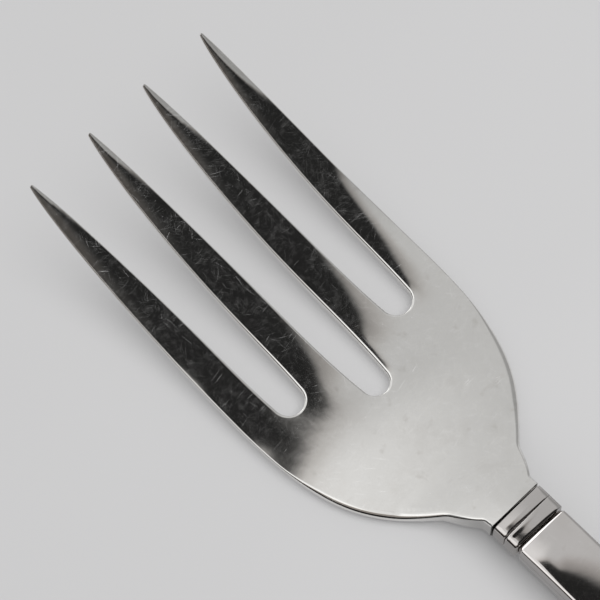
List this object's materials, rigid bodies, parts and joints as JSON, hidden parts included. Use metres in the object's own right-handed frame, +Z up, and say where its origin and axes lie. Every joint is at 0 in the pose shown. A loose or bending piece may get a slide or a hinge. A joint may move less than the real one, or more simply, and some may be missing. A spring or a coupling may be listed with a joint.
{
  "type": "cold meat fork",
  "caption": "Serving fork for cold sliced meat: long pointed tines on a broad shouldered bowl, a reeded neck and a plain hollow handle.",
  "frame": {"origin": "middle of the fork's length and width, on the surface that it lies on", "axes": "+Y along the fork towards the tips, +X across the tines, +Z up out of the bowl's upper face"},
  "size_m": [0.0414, 0.222, 0.014],
  "materials": {
    "head_silver": "polished",
    "ring_silver": "polished",
    "handle_silver": "polished",
    "cement": "matte"
  },
  "bodies": {
    "root": {"fork_head": "head_silver", "neck_ring_front": "ring_silver", "neck_ring_rear": "ring_silver", "handle_front_shell": "handle_silver", "handle_back_shell": "handle_silver", "handle_filler": "cement"}
  },
  "joints": []
}
